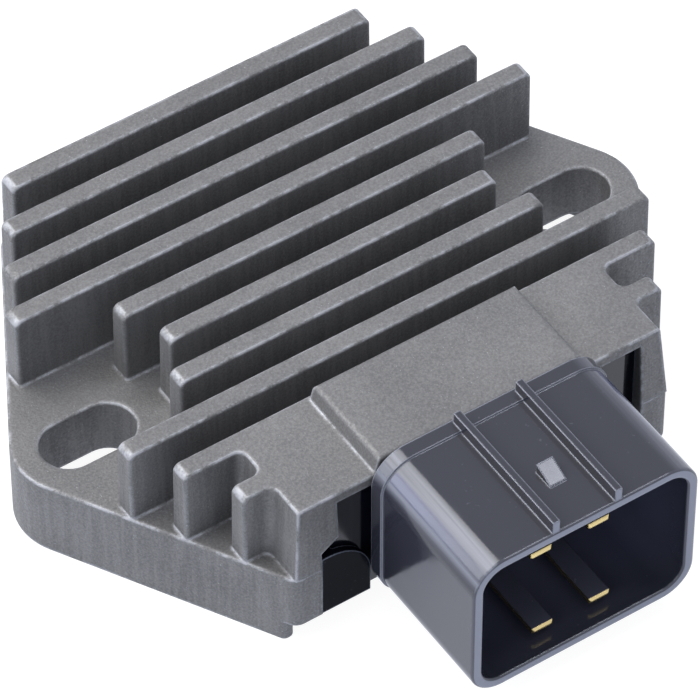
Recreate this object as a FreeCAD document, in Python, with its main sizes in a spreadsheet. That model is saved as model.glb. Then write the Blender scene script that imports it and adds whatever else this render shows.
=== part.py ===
"""Voltage regulator rectifier for a small motorcycle, in millimetres.

A finned die-cast heat sink carries everything. Its underside cavity holds four power
devices on a thermal sheet and a small control board, potted in black compound. A moulded
four-way connector leaves through the front wall.

Frame: X along the fins, -Y towards the connector, +Z up. The origin lies in the mounting
face, halfway between the two slotted mounting holes.
"""
import FreeCAD, Part
import math
import os
import Sketcher
from FreeCAD import Vector

doc = FreeCAD.newDocument("voltage_regulator_rectifier")
sheet = doc.addObject("Spreadsheet::Sheet", "Dimensions")

# Driving dimensions, in millimetres and degrees
DIMENSIONS = {
    # casting: base plate, a hexagon whose front is as wide as the connector's opening
    # and the pillars beside it
    "opening_margin": 6.8,
    "pillar_width": 3.54,
    "side_angle": 30.0,
    "base_thickness": 10.9,
    "ear_radius": 8.0,
    "base_corner_radius": 1.8,
    "base_edge_round": 0.3,
    # skirt round the recessed underside, open towards the connector
    "skirt_height": 3.0,
    "skirt_thickness": 1.8,
    "skirt_front_setback": 1.35,
    "skirt_end_round": 0.8,
    # fins
    "fin_pitch": 6.0,
    "fin_top_thickness": 2.5,
    "fin_draft": 1.1,
    "fin_height": 10.6,
    "fin_end_inset": 0.1,
    "rear_fin_end_inset": 0.5,
    "fin_end_round": 1.0,
    "fin_edge_round": 0.35,
    "stub_shift": 0.35,
    "notch_round": 1.1,
    "short_fin_slot_gap": 8.15,
    "middle_fin_slot_gap": 10.65,
    # platform and dome over the connector
    "platform_side_draft": 4.5,
    "platform_front_lean": 0.8,
    "dome_height": 2.0,
    "dome_shroud_inset": 0.9,
    "dome_side_slope": 0.6,
    "dome_back_step": 0.75,
    "dome_front_step": 0.2,
    "dome_edge_round": 0.5,
    # mounting slots
    "slot_corner_distance": 10.45,
    "slot_width": 7.0,
    "slot_spread": 5.0,
    "slot_edge_round": 0.3,
    # cavity
    "cavity_rear": 19.0,
    "cavity_ceiling": 2.3,
    "cavity_corner_round": 2.0,
    "platform_roof": 1.3,
    "platform_wall": 2.2,
    "tab_width": 2.4,
    "tab_height": 5.4,
    "tab_slope": 1.5,
    "tab_thickness": 1.0,
    # potting compound
    "potting_setback": 1.7,
    "bead_height": 9.3,
    "bead_round": 5.6,
    "bead_setback": 0.1,
    # connector shroud
    "shroud_width": 30.4,
    "shroud_height": 21.8,
    "shroud_bottom": 3.2,
    "shroud_length": 19.75,
    "shroud_wall": 1.4,
    "shroud_radius": 4.2,
    "socket_floor": 2.25,
    "rim_round": 0.35,
    "collar_length": 1.9,
    "collar_step": 0.25,
    "rail_spacing": 8.4,
    "rail_width": 0.9,
    "rail_height": 1.7,
    "rail_front_gap": 0.15,
    "rail_rear_gap": 0.3,
    "ramp_width": 2.2,
    "ramp_length": 2.8,
    "ramp_height": 1.3,
    "ramp_front_gap": 5.7,
    # connector flange and root block
    "flange_side_gap": 1.9,
    "flange_thickness": 2.0,
    "flange_setback": 1.05,
    "flange_roof_gap": 0.2,
    "root_side_inset": 2.6,
    "root_depth": 5.6,
    # blades
    "blade_width": 2.8,
    "blade_thickness": 0.8,
    "upper_blade_recess": 3.0,
    "lower_blade_recess": 2.3,
    "blade_column_pitch": 7.8,
    "upper_blade_roof_gap": 1.8,
    "lower_blade_board_gap": 1.0,
    "blade_tip_chamfer": 0.25,
    "tail_width": 1.4,
    "upper_tail_inset": 1.6,
    "tail_row_gap": 3.0,
    # circuit board
    "board_side_gap": 2.5,
    "board_thickness": 1.6,
    "board_cover": 0.4,
    "board_front_gap": 0.6,
    "board_device_gap": 1.6,
    "tail_stub": 0.2,
    # power devices
    "sheet_thickness": 0.3,
    "sheet_margin": 0.4,
    "device_side_gap": 0.8,
    "device_gap": 0.6,
    "device_height": 4.4,
    "package_length": 9.0,
    "device_rear_gap": 0.8,
    "tab_plate_length": 15.6,
    "tab_plate_thickness": 1.3,
    "tab_hole_radius": 1.8,
    "lead_pitch": 2.54,
    "lead_width": 0.8,
    "lead_thickness": 0.5,
    "lead_reach": 3.6,
    "lead_anchor": 1.2,
    "lead_drop": 1.3,
    "package_chamfer": 0.4,
    # small parts on the board
    "chip_length": 4.9,
    "chip_width": 3.9,
    "chip_height": 1.5,
    "chip_leg_pitch": 1.27,
    "chip_leg_width": 0.4,
    "chip_leg_reach": 1.0,
    "chip_leg_height": 0.6,
    "capacitor_radius": 2.5,
    "capacitor_height": 11.0,
    "capacitor_side_gap": 0.7,
    "capacitor_groove": 0.3,
    "zener_radius": 0.9,
    "zener_length": 3.6,
    "zener_cap": 0.5,
    "transistor_length": 2.9,
    "transistor_width": 1.4,
    "transistor_height": 1.1,
    "resistor_length": 3.2,
    "resistor_width": 1.6,
    "resistor_height": 0.6,
    "resistor_pitch": 3.4,
    "small_part_round": 0.2,
}

for row, (alias, number) in enumerate(DIMENSIONS.items(), start=1):
    cell = "A%d" % row
    sheet.set(cell, str(number))
    sheet.setAlias(cell, alias)
doc.recompute()


class Size:
    """A length or angle that knows its number and the expression that gives it."""

    def __init__(self, value, text):
        self.value = value
        self.text = text

    def _join(self, other, sign, result):
        return Size(result, "(%s %s %s)" % (self.text, sign, other.text))

    def __add__(self, other):
        other = as_size(other)
        return self._join(other, "+", self.value + other.value)

    def __sub__(self, other):
        other = as_size(other)
        return self._join(other, "-", self.value - other.value)

    def __mul__(self, other):
        other = as_size(other)
        return self._join(other, "*", self.value * other.value)

    def __truediv__(self, other):
        other = as_size(other)
        return self._join(other, "/", self.value / other.value)

    def __neg__(self):
        return as_size(-1) * self


def as_size(number):
    if isinstance(number, Size):
        return number
    return Size(float(number), "%g" % number)


def dim(alias):
    return Size(DIMENSIONS[alias], "Dimensions." + alias)


def tangent(angle):
    return Size(math.tan(math.radians(angle.value)), "tan(%s)" % angle.text)


def cosine(angle):
    return Size(math.cos(math.radians(angle.value)), "cos(%s)" % angle.text)


ZERO = as_size(0)


def origin_plane(body, role):
    return next(f for f in body.Origin.OriginFeatures if f.Role == role)


def new_body(label):
    body = doc.addObject("PartDesign::Body", label)
    body.Label = label
    return body


def new_sketch(body, name, role, offset=None):
    """A sketch on one of the body's own planes: XY looks up, XZ looks to -Y, YZ to +X."""
    sketch = body.newObject("Sketcher::SketchObject", name)
    sketch.AttachmentSupport = [(origin_plane(body, role), "")]
    sketch.MapMode = "FlatFace"
    if offset is not None:
        sketch.setExpression("AttachmentOffset.Base.z", offset.text)
    return sketch


def fix_point(sketch, geometry, end, across, up):
    """Holds one point of a sketch by its two distances from the origin."""
    for kind, size in (("DistanceX", across), ("DistanceY", up)):
        index = sketch.addConstraint(
            Sketcher.Constraint(kind, -1, 1, geometry, end, size.value))
        sketch.setExpression("Constraints[%d]" % index, size.text)


def draw_polygon(sketch, corners):
    points = [(as_size(a), as_size(b)) for a, b in corners]
    first = sketch.GeometryCount
    count = len(points)
    for i in range(count):
        a = Vector(points[i][0].value, points[i][1].value, 0)
        follower = points[(i + 1) % count]
        b = Vector(follower[0].value, follower[1].value, 0)
        sketch.addGeometry(Part.LineSegment(a, b), False)
    for i in range(count):
        sketch.addConstraint(
            Sketcher.Constraint("Coincident", first + i, 2, first + (i + 1) % count, 1))
    for i, (across, up) in enumerate(points):
        fix_point(sketch, first + i, 1, across, up)


def draw_box(sketch, left, right, low, high):
    draw_polygon(sketch, [(left, low), (right, low), (right, high), (left, high)])


def draw_circle(sketch, across, up, radius):
    across, up = as_size(across), as_size(up)
    centre = Vector(across.value, up.value, 0)
    index = sketch.addGeometry(Part.Circle(centre, Vector(0, 0, 1), radius.value), False)
    fix_point(sketch, index, 3, across, up)
    held = sketch.addConstraint(Sketcher.Constraint("Radius", index, radius.value))
    sketch.setExpression("Constraints[%d]" % held, radius.text)


def draw_slot(sketch, across, spread, radius):
    """A slotted hole along the first axis, centred on that axis."""
    left = across - spread / 2
    right = across + spread / 2
    up = Vector(0, 0, 1)
    r = radius.value
    first = sketch.GeometryCount
    quarter = math.pi / 2
    left_circle = Part.Circle(Vector(left.value, 0, 0), up, r)
    right_circle = Part.Circle(Vector(right.value, 0, 0), up, r)
    sketch.addGeometry(Part.ArcOfCircle(left_circle, quarter, 3 * quarter), False)
    sketch.addGeometry(Part.ArcOfCircle(right_circle, -quarter, quarter), False)
    for side in (-r, r):
        start = Vector(left.value, side, 0)
        sketch.addGeometry(Part.LineSegment(start, Vector(right.value, side, 0)), False)
    low_line, high_line = first + 2, first + 3
    for line, line_end, arc, arc_end in ((low_line, 1, first, 2), (high_line, 1, first, 1),
                                         (low_line, 2, first + 1, 1), (high_line, 2, first + 1, 2)):
        sketch.addConstraint(Sketcher.Constraint("Tangent", line, line_end, arc, arc_end))
    sketch.addConstraint(Sketcher.Constraint("PointOnObject", first, 3, -1))
    sketch.addConstraint(Sketcher.Constraint("PointOnObject", first + 1, 3, -1))
    for arc, place in ((first, left), (first + 1, right)):
        held = sketch.addConstraint(
            Sketcher.Constraint("DistanceX", -1, 1, arc, 3, place.value))
        sketch.setExpression("Constraints[%d]" % held, place.text)
    held = sketch.addConstraint(Sketcher.Constraint("Radius", first, r))
    sketch.setExpression("Constraints[%d]" % held, radius.text)


def pad(body, sketch, length, draft=None, both_ways=False, backwards=False):
    feature = body.newObject("PartDesign::Pad", sketch.Name + "_pad")
    feature.Profile = sketch
    feature.setExpression("Length", length.text)
    feature.Midplane = both_ways
    feature.Reversed = backwards
    if draft is not None:
        feature.setExpression("TaperAngle", draft.text)
    sketch.Visibility = False
    return feature


def pocket(body, sketch, depth, backwards=False):
    """Cuts a sketch out of the body and makes sure that material really went."""
    doc.recompute()
    before = body.Shape.Volume
    feature = body.newObject("PartDesign::Pocket", sketch.Name + "_pocket")
    feature.Profile = sketch
    feature.setExpression("Length", depth.text)
    feature.Reversed = backwards
    sketch.Visibility = False
    doc.recompute()
    if body.Shape.Volume >= before:
        raise RuntimeError(sketch.Name + " cuts nothing")
    return feature


def dress(body, kind, name, radius, wanted):
    """Rounds or chamfers the edges of the body's tip that the test wants."""
    doc.recompute()
    base = body.Tip
    names = ["Edge%d" % (i + 1) for i, edge in enumerate(base.Shape.Edges) if wanted(edge)]
    if not names:
        raise RuntimeError(name + " finds no edge")
    feature = body.newObject("PartDesign::" + kind, name)
    feature.Base = (base, names)
    feature.setExpression("Size" if kind == "Chamfer" else "Radius", radius.text)
    doc.recompute()
    if "Invalid" in feature.State or not feature.Shape.isValid():
        raise RuntimeError(name + " fails")
    return feature


def near(a, b, slack=0.01):
    return abs(a - b) < slack


def runs_along(edge, axis):
    """True for a straight edge along the axis, 0 for X, 1 for Y and 2 for Z."""
    if len(edge.Vertexes) < 2:
        return False
    span = edge.Vertexes[1].Point - edge.Vertexes[0].Point
    return near(span.Length, edge.Length, 1e-4) and abs(span[axis]) > 0.999 * span.Length


def middle(edge):
    return edge.valueAt((edge.FirstParameter + edge.LastParameter) / 2)


def lies_at(edge, level):
    """True where the whole edge lies at one height."""
    box = edge.BoundBox
    return near(box.ZMin, level) and near(box.ZMax, level)


# Places that several pieces share
FIN_ROOT_THICKNESS = (dim("fin_top_thickness")
                      + dim("fin_height") * tangent(dim("fin_draft")) * 2)
HALF_DEPTH = dim("fin_pitch") * 5 + FIN_ROOT_THICKNESS / 2
FRONT = -HALF_DEPTH
TOP = dim("base_thickness") + dim("fin_height")
SHROUD_HALF = dim("shroud_width") / 2
CAVITY_HALF = SHROUD_HALF + dim("opening_margin")
PLATFORM_TOP_FRONT = FRONT + dim("platform_front_lean")
SIDE_SLOPE = tangent(dim("side_angle"))
BASE_FRONT_HALF = CAVITY_HALF + dim("pillar_width")
BASE_CORNER = BASE_FRONT_HALF + HALF_DEPTH * SIDE_SLOPE
SLOT_PLACE = BASE_CORNER - dim("slot_corner_distance")
PLATFORM_BACK = -(dim("fin_pitch") * 3 - FIN_ROOT_THICKNESS / 2)
CEILING = dim("base_thickness") - dim("cavity_ceiling")
ROOF = TOP - dim("platform_roof")
DEEP_REAR = PLATFORM_BACK - dim("platform_wall")
SHROUD_TOP = dim("shroud_bottom") + dim("shroud_height")
SHROUD_MOUTH = FRONT - dim("shroud_length")
FLANGE_FRONT = FRONT + dim("flange_setback")
FLANGE_TOP = ROOF - dim("flange_roof_gap")
ROOT_REAR = FRONT + dim("root_depth")
POTTING_LEVEL = dim("skirt_height")
BOARD_BOTTOM = POTTING_LEVEL + dim("board_cover")
BOARD_TOP = BOARD_BOTTOM + dim("board_thickness")
UPPER_BLADE_LEVEL = ROOF - dim("upper_blade_roof_gap")
LOWER_BLADE_LEVEL = BOARD_TOP + dim("lower_blade_board_gap")
TAIL_END = BOARD_BOTTOM - dim("tail_stub")
DEVICE_BACK = CEILING - dim("sheet_thickness")
DEVICE_FRONT = dim("cavity_rear") - dim("device_rear_gap") - dim("tab_plate_length")
UPPER_TAIL = DEEP_REAR - dim("upper_tail_inset")
LOWER_TAIL = UPPER_TAIL - dim("tail_row_gap")
BOARD_HALF = CAVITY_HALF - dim("board_side_gap")
BOARD_REAR = DEVICE_FRONT - dim("board_device_gap")
BOARD_MIDDLE = (LOWER_TAIL + BOARD_REAR) / 2
DEVICE_PITCH = (CAVITY_HALF - dim("device_side_gap")) / 2
DEVICE_HALF = (DEVICE_PITCH - dim("device_gap")) / 2
DEVICE_PLACES = (-1.5, -0.5, 0.5, 1.5)
REAR_STUB = dim("fin_pitch") * -3
FRONT_STUB = dim("fin_pitch") * -4 - dim("stub_shift")


def half_width_at(distance):
    """Half the base's width at a distance from the line through the mounting slots."""
    return BASE_CORNER - distance * SIDE_SLOPE


def full_fin_half(line):
    """A full fin stops where its outer face meets the slanting side of the base."""
    outer = line + FIN_ROOT_THICKNESS / 2 if line.value > 0 else FIN_ROOT_THICKNESS / 2 - line
    return half_width_at(outer) - dim("fin_end_inset")


def fin(body, name, line, half):
    """A bar along X that narrows towards its top and starts just below the base's top."""
    root = FIN_ROOT_THICKNESS / 2
    top = dim("fin_top_thickness") / 2
    foot = dim("base_thickness") - dim("base_edge_round")
    sketch = new_sketch(body, name, "YZ_Plane")
    draw_polygon(sketch, [(line - root, foot), (line + root, foot), (line + top, TOP),
                          (line - top, TOP)])
    pad(body, sketch, half * 2, both_ways=True)


def base_plate(body):
    top = dim("base_thickness").value
    wide = BASE_CORNER.value
    narrow = BASE_FRONT_HALF
    depth = HALF_DEPTH.value
    sketch = new_sketch(body, "base_outline", "XY_Plane")
    draw_polygon(sketch, [
        (BASE_CORNER, ZERO), (narrow, HALF_DEPTH), (-narrow, HALF_DEPTH),
        (-BASE_CORNER, ZERO), (-narrow, FRONT), (narrow, FRONT)])
    pad(body, sketch, dim("base_thickness"))
    dress(body, "Fillet", "ear_rounding", dim("ear_radius"),
          lambda e: runs_along(e, 2) and near(abs(middle(e).x), wide))
    dress(body, "Fillet", "base_corner_rounding", dim("base_corner_radius"),
          lambda e: runs_along(e, 2) and near(abs(middle(e).y), depth))
    dress(body, "Fillet", "base_edge_rounding", dim("base_edge_round"),
          lambda e: lies_at(e, top) and middle(e).y > -depth + 0.1)


def recess(body):
    """Hollows the underside inside a thin skirt that is open to the front."""
    across = dim("skirt_thickness") / cosine(dim("side_angle"))
    rear = HALF_DEPTH - dim("skirt_thickness")
    front = HALF_DEPTH - dim("skirt_front_setback")
    beyond = FRONT - dim("skirt_thickness")
    sketch = new_sketch(body, "recess", "XY_Plane")
    right_side = [(half_width_at(rear) - across, rear), (BASE_CORNER - across, ZERO),
                  (half_width_at(front) - across, -front), (BASE_CORNER, -front),
                  (BASE_CORNER, beyond)]
    left_side = [(-x, y) for x, y in reversed(right_side)]
    draw_polygon(sketch, right_side + left_side)
    pocket(body, sketch, dim("skirt_height"), backwards=True)
    inside = (BASE_CORNER - across).value
    dress(body, "Fillet", "recess_ear_rounding", dim("ear_radius") - dim("skirt_thickness"),
          lambda e: runs_along(e, 2) and near(abs(middle(e).x), inside))
    end_line = -front.value
    dress(body, "Fillet", "skirt_end_rounding", dim("skirt_end_round"),
          lambda e: runs_along(e, 2) and near(middle(e).y, end_line))


def mounting_slots(body):
    top = dim("base_thickness").value
    sketch = new_sketch(body, "mounting_slots", "XY_Plane")
    for side in (-1, 1):
        draw_slot(sketch, SLOT_PLACE * side, dim("slot_spread"), dim("slot_width") / 2)
    pocket(body, sketch, dim("base_thickness"), backwards=True)
    place = SLOT_PLACE.value
    reach = (dim("slot_spread").value + dim("slot_width").value) / 2 + 0.1
    breadth = dim("slot_width").value / 2 + 0.1
    dress(body, "Fillet", "slot_edge_rounding", dim("slot_edge_round"),
          lambda e: lies_at(e, top) and abs(abs(middle(e).x) - place) < reach
          and abs(middle(e).y) < breadth)


def fins(body):
    """Four full fins at the back, three short ones between the slots, one full fin in
    front of them and the ends of two more at the sides of the platform."""
    pitch = dim("fin_pitch")
    fin(body, "fin_1", pitch * 5, BASE_FRONT_HALF - dim("rear_fin_end_inset"))
    for name, line in (("fin_2", pitch * 4), ("fin_3", pitch * 3), ("fin_4", pitch * 2),
                       ("fin_8", pitch * -2), ("rear_stubs", REAR_STUB),
                       ("front_stubs", FRONT_STUB)):
        fin(body, name, line, full_fin_half(line))
    short = SLOT_PLACE - dim("short_fin_slot_gap")
    fin(body, "fin_5", pitch, short)
    fin(body, "fin_6", ZERO, SLOT_PLACE - dim("middle_fin_slot_gap"))
    fin(body, "fin_7", -pitch, short)


def platform(body):
    """A block over the connector's root, as high as the fins, with a leaning front."""
    low = BASE_FRONT_HALF
    high = low - dim("fin_height") * tangent(dim("platform_side_draft"))
    foot = dim("base_thickness")
    sketch = new_sketch(body, "platform", "XZ_Plane", -FRONT)
    draw_polygon(sketch, [(-low, foot), (low, foot), (high, TOP), (-high, TOP)])
    pad(body, sketch, REAR_STUB - FRONT, backwards=True)


def lean_front(body):
    """Takes a thin wedge off the front, so that the platform's top edge is set back."""
    sketch = new_sketch(body, "front_lean", "YZ_Plane")
    draw_polygon(sketch, [(FRONT, dim("base_thickness")), (PLATFORM_TOP_FRONT, TOP),
                          (PLATFORM_TOP_FRONT, TOP + dim("dome_height")),
                          (FRONT - dim("skirt_thickness"), TOP + dim("dome_height")),
                          (FRONT - dim("skirt_thickness"), dim("base_thickness"))])
    doc.recompute()
    cut = body.newObject("PartDesign::Pocket", "front_lean_pocket")
    cut.Profile = sketch
    cut.Midplane = True
    cut.setExpression("Length", (BASE_CORNER * 2).text)
    sketch.Visibility = False


def round_fins(body):
    """Rounds the fins' ends, the notches beside the platform and the top edges, except the
    rear one, whose corners stand on the base's own rounded corners."""
    fin_top = TOP.value
    rear_fin = dim("fin_pitch").value * 5
    side = BASE_FRONT_HALF.value
    thick = FIN_ROOT_THICKNESS.value
    tall = dim("fin_height").value * 0.9
    dress(body, "Fillet", "fin_end_rounding", dim("fin_end_round"),
          lambda e: runs_along(e, 1) and lies_at(e, fin_top) and e.Length < thick)
    dress(body, "Fillet", "notch_rounding", dim("notch_round"),
          lambda e: e.BoundBox.ZLength > tall and abs(abs(middle(e).x) - side) < thick / 2
          and FRONT_STUB.value - thick < middle(e).y < REAR_STUB.value)
    dress(body, "Fillet", "fin_edge_rounding", dim("fin_edge_round"),
          lambda e: lies_at(e, fin_top) and middle(e).y < rear_fin - thick / 4)


def dome(body):
    """A slightly higher field of the platform, as wide as the connector."""
    low = SHROUD_HALF - dim("dome_shroud_inset")
    high = low - dim("dome_side_slope")
    sketch = new_sketch(body, "dome", "XZ_Plane",
                        -(PLATFORM_TOP_FRONT + dim("dome_front_step")))
    draw_polygon(sketch, [(-low, TOP), (low, TOP), (high, TOP + dim("dome_height")),
                          (-high, TOP + dim("dome_height"))])
    length = (PLATFORM_BACK - dim("dome_back_step")
              - PLATFORM_TOP_FRONT - dim("dome_front_step"))
    pad(body, sketch, length, backwards=True)
    dome_top = (TOP + dim("dome_height")).value
    dress(body, "Fillet", "dome_edge_rounding", dim("dome_edge_round"),
          lambda e: lies_at(e, dome_top))


def cavity(body):
    """The hollow underside: shallow under the fins, deep under the platform and open to
    the front, where the side walls end as two pillars."""
    half = CAVITY_HALF
    rear = dim("cavity_rear")
    beyond = FRONT - dim("base_thickness")
    sketch = new_sketch(body, "cavity", "XY_Plane")
    draw_box(sketch, -half, half, beyond, rear)
    pocket(body, sketch, CEILING, backwards=True)
    dress(body, "Fillet", "cavity_corner_rounding", dim("cavity_corner_round"),
          lambda e: runs_along(e, 2) and near(middle(e).y, rear.value)
          and near(abs(middle(e).x), half.value))
    sketch = new_sketch(body, "deep_cavity", "XY_Plane")
    draw_box(sketch, -half, half, beyond, DEEP_REAR)
    pocket(body, sketch, ROOF, backwards=True)


def gusset(body):
    """The small web in the upper left corner of the front opening."""
    edge = -CAVITY_HALF
    inner = edge + dim("tab_width")
    low = ROOF - dim("tab_height")
    sunk = dim("platform_roof") / 2
    sketch = new_sketch(body, "gusset", "XZ_Plane", -FRONT)
    draw_polygon(sketch, [(edge - sunk, ROOF + sunk), (edge - sunk, low - dim("tab_slope")),
                          (edge, low - dim("tab_slope")), (inner, low),
                          (inner, ROOF + sunk)])
    pad(body, sketch, dim("tab_thickness"), backwards=True)


def heat_sink():
    """The casting: base plate, slots, fins, platform, dome and cavity."""
    body = new_body("heat_sink")
    base_plate(body)
    recess(body)
    mounting_slots(body)
    fins(body)
    platform(body)
    cavity(body)
    gusset(body)
    lean_front(body)
    round_fins(body)
    dome(body)
    return body


def connector_housing():
    """One moulding: flange and root in the casting's front opening, shroud outside it."""
    body = new_body("connector_housing")
    half = SHROUD_HALF
    bottom = dim("shroud_bottom")
    mouth = SHROUD_MOUTH.value
    front = FRONT.value

    # shroud
    sketch = new_sketch(body, "shroud", "XZ_Plane", -FRONT)
    draw_box(sketch, -half, half, bottom, SHROUD_TOP)
    pad(body, sketch, dim("shroud_length"))
    dress(body, "Fillet", "shroud_corner_rounding", dim("shroud_radius"),
          lambda e: runs_along(e, 1))

    # collar at the shroud's root
    step = dim("collar_step")
    sketch = new_sketch(body, "collar", "XZ_Plane", -FRONT)
    draw_box(sketch, -half - step, half + step, bottom - step, SHROUD_TOP + step)
    pad(body, sketch, dim("collar_length"))
    collar_front = (FRONT - dim("collar_length")).value
    outside = (half + step).value - 0.01
    dress(body, "Fillet", "collar_corner_rounding", dim("shroud_radius") + step,
          lambda e: runs_along(e, 1) and abs(middle(e).x) > outside)

    # socket
    wall = dim("shroud_wall")
    inner = half - wall
    sketch = new_sketch(body, "socket", "XZ_Plane", -SHROUD_MOUTH)
    draw_box(sketch, -inner, inner, bottom + wall, SHROUD_TOP - wall)
    pocket(body, sketch, dim("shroud_length") - dim("socket_floor"))
    inner_side = inner.value
    dress(body, "Fillet", "socket_corner_rounding", dim("shroud_radius") - wall,
          lambda e: runs_along(e, 1) and near(abs(middle(e).x), inner_side))
    dress(body, "Fillet", "rim_rounding", dim("rim_round"),
          lambda e: near(middle(e).y, mouth))

    # two guide rails and the lock ramp on top
    top = SHROUD_TOP
    sketch = new_sketch(body, "rails", "XZ_Plane", -(FRONT - dim("rail_rear_gap")))
    for side in (-1, 1):
        centre = dim("rail_spacing") / 2 * side
        draw_box(sketch, centre - dim("rail_width") / 2, centre + dim("rail_width") / 2,
                 top - wall / 2, top + dim("rail_height"))
    pad(body, sketch, dim("shroud_length") - dim("rail_rear_gap") - dim("rail_front_gap"))
    sketch = new_sketch(body, "lock_ramp", "YZ_Plane")
    ramp_foot = SHROUD_MOUTH + dim("ramp_front_gap")
    draw_polygon(sketch, [(ramp_foot, top - wall / 2), (ramp_foot, top + wall / 8),
                          (ramp_foot + dim("ramp_length"), top + dim("ramp_height")),
                          (ramp_foot + dim("ramp_length"), top - wall / 2)])
    pad(body, sketch, dim("ramp_width"), both_ways=True)

    # flange and root
    flange = CAVITY_HALF - dim("flange_side_gap")
    sketch = new_sketch(body, "flange", "XZ_Plane", -FLANGE_FRONT)
    draw_box(sketch, -flange, flange, POTTING_LEVEL, FLANGE_TOP)
    pad(body, sketch, dim("flange_thickness"), backwards=True)
    root = SHROUD_HALF - dim("root_side_inset")
    sketch = new_sketch(body, "root", "XZ_Plane", -FRONT)
    draw_box(sketch, -root, root, bottom, FLANGE_TOP)
    pad(body, sketch, dim("root_depth"), backwards=True)

    # passages for the four blades
    sketch = new_sketch(body, "blade_passages", "XZ_Plane", -ROOT_REAR)
    blade_half = dim("blade_width") / 2
    thick_half = dim("blade_thickness") / 2
    for level in (UPPER_BLADE_LEVEL, LOWER_BLADE_LEVEL):
        for side in (-1, 1):
            centre = dim("blade_column_pitch") / 2 * side
            draw_box(sketch, centre - blade_half, centre + blade_half,
                     level - thick_half, level + thick_half)
    passage = dim("root_depth") + dim("socket_floor") + dim("collar_step")
    pocket(body, sketch, passage, backwards=True)
    return body


def terminal(label, side, level, recess, tail):
    """A flat blade that runs through the root and turns down into the circuit board."""
    body = new_body(label)
    tip = SHROUD_MOUTH + recess
    half = dim("blade_thickness") / 2
    sketch = new_sketch(body, label + "_blade", "YZ_Plane")
    draw_box(sketch, tip, tail + half, level - half, level + half)
    pad(body, sketch, dim("blade_width"), both_ways=True)
    tip_line = tip.value
    dress(body, "Chamfer", label + "_tip_chamfer", dim("blade_tip_chamfer"),
          lambda e: near(e.BoundBox.YMax, tip_line))
    sketch = new_sketch(body, label + "_tail", "YZ_Plane")
    draw_box(sketch, tail - half, tail + half, TAIL_END, level)
    pad(body, sketch, dim("tail_width"), both_ways=True)
    body.setExpression("Placement.Base.x", (dim("blade_column_pitch") / 2 * side).text)
    return body


def terminals():
    upper = (UPPER_BLADE_LEVEL, dim("upper_blade_recess"), UPPER_TAIL)
    lower = (LOWER_BLADE_LEVEL, dim("lower_blade_recess"), LOWER_TAIL)
    return [terminal("terminal_ac_1", -1, *upper), terminal("terminal_ac_2", 1, *upper),
            terminal("terminal_positive", -1, *lower), terminal("terminal_ground", 1, *lower)]


def thermal_sheet():
    body = new_body("thermal_sheet")
    reach = DEVICE_PITCH * 1.5 + DEVICE_HALF + dim("sheet_margin")
    sketch = new_sketch(body, "sheet_outline", "XY_Plane", DEVICE_BACK)
    margin = dim("sheet_margin")
    draw_box(sketch, -reach, reach, DEVICE_FRONT - margin,
             DEVICE_FRONT + dim("tab_plate_length") + margin / 2)
    pad(body, sketch, dim("sheet_thickness"))
    return body


def lead_offsets(count):
    middle_lead = (count - 1) / 2
    return [dim("lead_pitch") * ((i - middle_lead) * 2 / (count - 1)) for i in range(count)]


def device_place(body, place):
    body.setExpression("Placement.Base.x", (DEVICE_PITCH * place).text)


def package(label, place, leads):
    """The moulded body of a power device, with its leads' seats in the front."""
    body = new_body(label)
    half = DEVICE_HALF
    plate = dim("tab_plate_thickness")
    sketch = new_sketch(body, label + "_outline", "XY_Plane", DEVICE_BACK - plate)
    draw_box(sketch, -half, half, DEVICE_FRONT, DEVICE_FRONT + dim("package_length"))
    pad(body, sketch, dim("device_height") - plate, backwards=True)
    bottom = (DEVICE_BACK - dim("device_height")).value
    dress(body, "Chamfer", label + "_chamfer", dim("package_chamfer"),
          lambda e: lies_at(e, bottom))
    sketch = new_sketch(body, label + "_lead_seats", "XZ_Plane", -DEVICE_FRONT)
    level = DEVICE_BACK - plate - dim("lead_drop")
    across = dim("lead_width") / 2
    up = dim("lead_thickness") / 2
    for offset in lead_offsets(leads):
        draw_box(sketch, offset - across, offset + across, level - up, level + up)
    pocket(body, sketch, dim("lead_anchor"))
    device_place(body, place)
    return body


def tab_plate(label, place):
    """The copper plate of a power device, with its hole, flat on the thermal sheet."""
    body = new_body(label)
    half = DEVICE_HALF
    sketch = new_sketch(body, label + "_outline", "XY_Plane", DEVICE_BACK)
    draw_box(sketch, -half, half, DEVICE_FRONT, DEVICE_FRONT + dim("tab_plate_length"))
    hole = DEVICE_FRONT + (dim("package_length") + dim("tab_plate_length")) / 2
    draw_circle(sketch, ZERO, hole, dim("tab_hole_radius"))
    pad(body, sketch, dim("tab_plate_thickness"), backwards=True)
    device_place(body, place)
    return body


def device_leads(label, place, leads):
    """The leads of a power device, each bent down into the circuit board."""
    body = new_body(label)
    body.AllowCompound = True
    level = DEVICE_BACK - dim("tab_plate_thickness") - dim("lead_drop")
    up = dim("lead_thickness") / 2
    inner = DEVICE_FRONT + dim("lead_anchor")
    tip = DEVICE_FRONT - dim("lead_reach")
    bend = tip + dim("lead_thickness")
    for number, offset in enumerate(lead_offsets(leads), start=1):
        sketch = new_sketch(body, "%s_%d" % (label, number), "YZ_Plane", offset)
        draw_polygon(sketch, [(inner, level + up), (tip, level + up), (tip, TAIL_END),
                              (bend, TAIL_END), (bend, level - up), (inner, level - up)])
        pad(body, sketch, dim("lead_width"), both_ways=True)
    device_place(body, place)
    return body


def power_devices():
    """Two thyristors in the middle and two rectifier diodes beside them."""
    pieces = []
    names = ("rectifier_diode_1", "thyristor_1", "thyristor_2", "rectifier_diode_2")
    for name, place in zip(names, DEVICE_PLACES):
        leads = 3 if name.startswith("thyristor") else 2
        pieces += [package(name, place, leads), tab_plate(name + "_tab", place),
                   device_leads(name + "_leads", place, leads)]
    return pieces


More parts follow.
